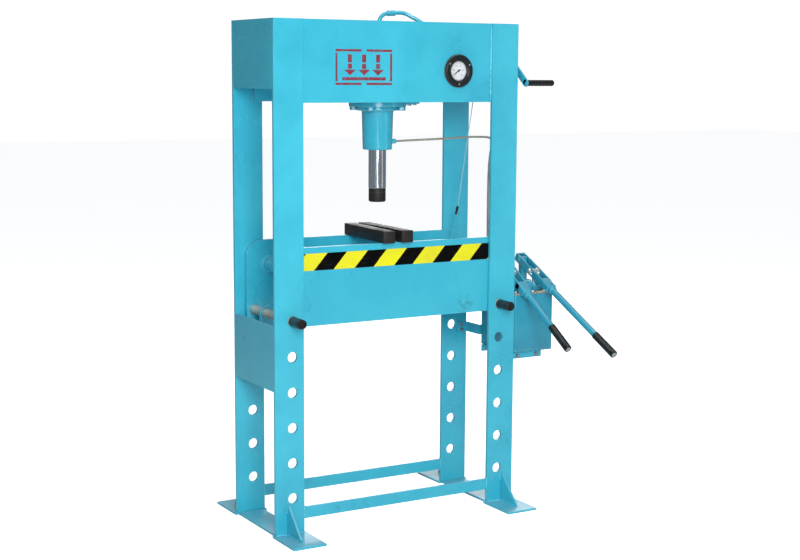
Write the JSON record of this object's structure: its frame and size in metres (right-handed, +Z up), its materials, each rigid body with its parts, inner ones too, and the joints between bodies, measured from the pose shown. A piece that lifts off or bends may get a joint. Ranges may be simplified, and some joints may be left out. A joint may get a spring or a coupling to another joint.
{
  "type": "hydraulic shop press",
  "caption": "Two-column hydraulic shop press: welded plate frame, pinned table with press blocks, ram under a gauged beam, side hand pump with levers and a rope winch.",
  "frame": {"origin": "bottom centre of the whole outline, on the floor", "axes": "+X to the pump side, +Y to the back, +Z up; the ram axis stands 89.5 mm to -X and 137 mm to +Y of the origin"},
  "size_m": [1.189, 0.9287, 1.8451],
  "materials": {
    "frame_enamel": "glossy cyan enamel on welded plate",
    "cylinder_enamel": "cyan enamel over turned steel",
    "pump_enamel": "cyan enamel",
    "table_enamel": "glossy cyan enamel with a striped hazard band",
    "gauge_black": "satin black",
    "dial_white": "white printed dial",
    "lens_glass": "clear lens",
    "zinc": "dull passivated zinc",
    "rope_strand": "painted wire rope",
    "ram_chrome": "hard chrome, polished",
    "oiled_steel": "black oiled steel",
    "bare_steel": "worn bare steel",
    "black_grip": "black moulded grip"
  },
  "bodies": {
    "frame": {"upright_front_left": "frame_enamel", "upright_front_right": "frame_enamel", "upright_back_left": "frame_enamel", "upright_back_right": "frame_enamel", "beam_front_plate": "frame_enamel", "beam_back_plate": "frame_enamel", "side_plate_top_left": "frame_enamel", "side_plate_top_right": "frame_enamel", "side_plate_lower_left": "frame_enamel", "cylinder_mount_plate": "frame_enamel", "winch_plate": "frame_enamel", "beam_tab": "frame_enamel", "base_plate_left": "frame_enamel", "base_plate_right": "frame_enamel", "gusset_front_left": "frame_enamel", "gusset_front_right": "frame_enamel", "gusset_back_left": "frame_enamel", "gusset_back_right": "frame_enamel", "rail_front": "frame_enamel", "rail_back": "frame_enamel", "cylinder_body": "cylinder_enamel", "flange_bolts": "cylinder_enamel", "gauge_case": "gauge_black", "gauge_dial": "dial_white", "gauge_lens": "lens_glass", "gauge_block": "zinc", "top_hose": "cylinder_enamel", "hose_collar": "cylinder_enamel", "pressure_pipe": "zinc", "pipe_union": "cylinder_enamel", "pump_tank": "pump_enamel", "pump_cover": "zinc", "pump_shelf": "pump_enamel", "pump_strap": "pump_enamel", "pump_body": "pump_enamel", "rope": "rope_strand"},
    "ram": {"ram_rod": "ram_chrome", "ram_tip": "oiled_steel"},
    "pointer": {"gauge_pointer": "gauge_black"},
    "crank": {"winch_crank": "pump_enamel"},
    "crank_handle": {"crank_grip": "black_grip"},
    "table": {"table_plate_front": "table_enamel", "table_plate_back": "table_enamel", "table_spacer_left": "table_enamel", "table_spacer_right": "table_enamel", "rope_hook": "table_enamel"},
    "left_block": {"block_left": "oiled_steel"},
    "right_block": {"block_right": "oiled_steel"},
    "left_pin": {"pin_left": "bare_steel", "pin_grip_left": "black_grip"},
    "right_pin": {"pin_right": "bare_steel", "pin_grip_right": "black_grip"},
    "lever_one": {"lever_1": "pump_enamel", "lever_grip_1": "black_grip"},
    "lever_two": {"lever_2": "pump_enamel", "lever_grip_2": "black_grip"},
    "plunger_one": {"plunger_1": "bare_steel"},
    "plunger_two": {"plunger_2": "bare_steel"},
    "valve_knob": {"release_knob": "pump_enamel"}
  },
  "joints": [
    {"name": "ram_slide", "type": "slide", "parent": "frame", "child": "ram", "axis": [0, 0, 1], "range_m": [-0.085, 0.115]},
    {"name": "pointer_turn", "type": "hinge", "parent": "frame", "child": "pointer", "pos_m": [0.1535, -0.02653, 1.628], "axis": [0, 1, 0], "range_deg": [0, 270], "stiffness_Nm_per_rad": 0.002},
    {"name": "table_lift", "type": "slide", "parent": "frame", "child": "table", "axis": [0, 0, 1], "range_m": [0, 0.08], "deforming": ["rope"]},
    {"name": "winch_turn", "type": "hinge", "parent": "frame", "child": "crank", "pos_m": [0.3445, 0.08397, 1.706], "axis": [1, 0, 0], "range_deg": [0, 110]},
    {"name": "crank_handle_spin", "type": "hinge", "parent": "crank", "child": "crank_handle", "pos_m": [0.4855, -0.06403, 1.586], "axis": [1, 0, 0], "continuous": true},
    {"name": "left_block_slide", "type": "slide", "parent": "table", "child": "left_block", "axis": [1, 0, 0], "range_m": [-0.25, 0.01]},
    {"name": "right_block_slide", "type": "slide", "parent": "table", "child": "right_block", "axis": [1, 0, 0], "range_m": [-0.01, 0.25]},
    {"name": "left_pin_slide", "type": "slide", "parent": "frame", "child": "left_pin", "axis": [0, -1, 0], "range_m": [0, 0.42]},
    {"name": "right_pin_slide", "type": "slide", "parent": "frame", "child": "right_pin", "axis": [0, -1, 0], "range_m": [0, 0.42]},
    {"name": "lever_one_pump", "type": "hinge", "parent": "frame", "child": "lever_one", "pos_m": [0.4505, 0.12097, 0.914], "axis": [1, 0, 0], "range_deg": [-50, 0]},
    {"name": "plunger_one_stroke", "type": "slide", "parent": "frame", "child": "plunger_one", "axis": [0, 0, 1], "range_m": [0, 0.0727]},
    {"name": "lever_two_pump", "type": "hinge", "parent": "frame", "child": "lever_two", "pos_m": [0.5535, 0.12097, 0.904], "axis": [1, 0, 0], "range_deg": [-50, 0]},
    {"name": "plunger_two_stroke", "type": "slide", "parent": "frame", "child": "plunger_two", "axis": [0, 0, 1], "range_m": [0, 0.0714]},
    {"name": "release_valve_turn", "type": "hinge", "parent": "frame", "child": "valve_knob", "pos_m": [0.5045, 0.00197, 0.822], "axis": [0, 1, 0], "range_deg": [0, 180]}
  ],
  "couplings": [
    {"joint": "winch_turn", "follows": "table_lift", "rad_per_m": 22},
    {"joint": "plunger_one_stroke", "follows": "lever_one_pump", "m_per_rad": -0.0831},
    {"joint": "plunger_two_stroke", "follows": "lever_two_pump", "m_per_rad": -0.0815}
  ]
}
